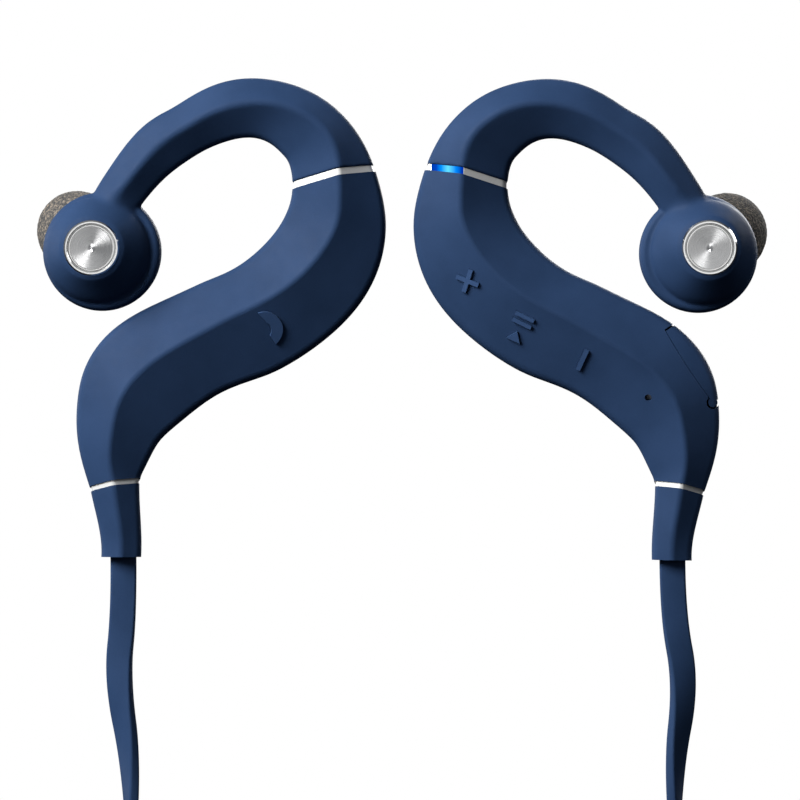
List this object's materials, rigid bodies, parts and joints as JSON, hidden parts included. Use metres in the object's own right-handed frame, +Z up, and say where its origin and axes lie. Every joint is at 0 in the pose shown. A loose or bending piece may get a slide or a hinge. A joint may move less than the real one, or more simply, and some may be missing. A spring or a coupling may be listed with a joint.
{
  "type": "neckband earphones",
  "caption": "Wireless sport earphones: hooked behind-the-ear units with foam-tipped earbuds, side buttons and a flat cable hanging between them.",
  "frame": {"origin": "midway between the two ear seats, the tops of the inner curves of the hooks", "axes": "+X towards the unit with the volume buttons, the wearer's right; +Z up as worn; -Y is the outer face of both units, +Y the skin side"},
  "size_m": [0.1254, 0.0282, 0.2544],
  "materials": {
    "soft_touch_shell": "soft-touch matt lacquer over moulded plastic",
    "hook_rubber": "matt moulded elastomer",
    "cable_rubber": "satin elastomer",
    "button_rubber": "satin moulded rubber",
    "port_rubber": "matt moulded rubber",
    "seal_rubber": "black silicone",
    "silver_trim": "satin silver",
    "polished_metal": "polished",
    "spun_metal": "spun finish with circular grain",
    "spring_wire": "drawn wire",
    "driver_plastic": "moulded",
    "magnet": "nickel plated",
    "diaphragm_film": "thin clear film",
    "screen_mesh": "woven mesh",
    "tip_sleeve": "flexible moulded sleeve",
    "tip_foam": "open-cell memory foam, charcoal with lighter flecks",
    "board": "solder mask",
    "battery_foil": "pouch foil",
    "switch_metal": "stamped",
    "switch_plunger": "moulded",
    "led_window": "clear light guide lit blue",
    "led_chip": "light-emitting chip",
    "mic_can": "stamped can",
    "usb_shell": "stamped shell"
  },
  "bodies": {
    "root": {"left_battery": "battery_foil", "left_cable_ring": "silver_trim", "left_call_switch": "switch_metal", "left_circuit_board": "board", "left_cover_seal": "seal_rubber", "left_ear_hook": "hook_rubber", "left_hook_core": "spring_wire", "left_hook_ring": "silver_trim", "left_inner_cover": "soft_touch_shell", "left_outer_cover": "soft_touch_shell", "left_strain_relief": "cable_rubber", "neck_cable": "cable_rubber", "right_battery": "battery_foil", "right_button_switches": "switch_metal", "right_cable_ring": "silver_trim", "right_circuit_board": "board", "right_cover_seal": "seal_rubber", "right_ear_hook": "hook_rubber", "right_hook_core": "spring_wire", "right_hook_ring": "silver_trim", "right_inner_cover": "soft_touch_shell", "right_led_chip": "led_chip", "right_led_window": "led_window", "right_microphone": "mic_can", "right_outer_cover": "soft_touch_shell", "right_strain_relief": "cable_rubber", "right_usb_socket": "usb_shell"},
    "left_bud": {"left_bud_front": "hook_rubber", "left_bud_rear": "soft_touch_shell", "left_badge_bezel": "polished_metal", "left_badge_disc": "spun_metal", "left_driver_frame": "driver_plastic", "left_driver_magnet": "magnet", "left_driver_diaphragm": "diaphragm_film", "left_nozzle_screen": "screen_mesh"},
    "left_ear_tip": {"left_tip_core": "tip_sleeve", "left_tip_foam": "tip_foam"},
    "right_bud": {"right_bud_front": "hook_rubber", "right_bud_rear": "soft_touch_shell", "right_badge_bezel": "polished_metal", "right_badge_disc": "spun_metal", "right_driver_frame": "driver_plastic", "right_driver_magnet": "magnet", "right_driver_diaphragm": "diaphragm_film", "right_nozzle_screen": "screen_mesh"},
    "right_ear_tip": {"right_tip_core": "tip_sleeve", "right_tip_foam": "tip_foam"},
    "left_call_key": {"left_call_button": "button_rubber", "left_call_plunger": "switch_plunger"},
    "right_volume_up_key": {"right_volume_up_button": "button_rubber", "right_volume_up_plunger": "switch_plunger"},
    "right_play_key": {"right_play_button": "button_rubber", "right_play_plunger": "switch_plunger"},
    "right_volume_down_key": {"right_volume_down_button": "button_rubber", "right_volume_down_plunger": "switch_plunger"},
    "right_port_cover": {"right_usb_cover": "port_rubber"}
  },
  "joints": [
    {"name": "left_hook_flex", "type": "hinge", "parent": "root", "child": "left_bud", "pos_m": [-0.031, 0, 0.0045], "axis": [0, 1, 0], "range_deg": [-2, 15], "stiffness_Nm_per_rad": 0.12, "deforming": ["left_ear_hook", "left_hook_core"]},
    {"name": "left_tip_slide", "type": "slide", "parent": "left_bud", "child": "left_ear_tip", "axis": [-0.36, 0.8851, 0.295], "range_m": [0, 0.009]},
    {"name": "right_hook_flex", "type": "hinge", "parent": "root", "child": "right_bud", "pos_m": [0.03094, 0, 0.00426], "axis": [0, -1, 0], "range_deg": [-2, 15], "stiffness_Nm_per_rad": 0.12, "deforming": ["right_ear_hook", "right_hook_core"]},
    {"name": "right_tip_slide", "type": "slide", "parent": "right_bud", "child": "right_ear_tip", "axis": [0.3656, 0.8851, 0.2881], "range_m": [0, 0.009]},
    {"name": "left_call_press", "type": "slide", "parent": "root", "child": "left_call_key", "axis": [-0.1688, 0.9384, 0.3015], "range_m": [0, 0.0003], "stiffness_N_per_m": 1500, "springref_m": -0.0006},
    {"name": "right_volume_up_press", "type": "slide", "parent": "root", "child": "right_volume_up_key", "axis": [0.294, 0.9281, 0.2286], "range_m": [0, 0.0003], "stiffness_N_per_m": 1500, "springref_m": -0.0006},
    {"name": "right_play_press", "type": "slide", "parent": "root", "child": "right_play_key", "axis": [0.182, 0.9377, 0.296], "range_m": [0, 0.0003], "stiffness_N_per_m": 1500, "springref_m": -0.0006},
    {"name": "right_volume_down_press", "type": "slide", "parent": "root", "child": "right_volume_down_key", "axis": [0.1622, 0.9296, 0.331], "range_m": [0, 0.0003], "stiffness_N_per_m": 1500, "springref_m": -0.0006},
    {"name": "right_port_cover_hinge", "type": "hinge", "parent": "root", "child": "right_port_cover", "pos_m": [0.05298, -0.002, -0.04504], "axis": [0, 1, 0], "range_deg": [0, 70]}
  ]
}
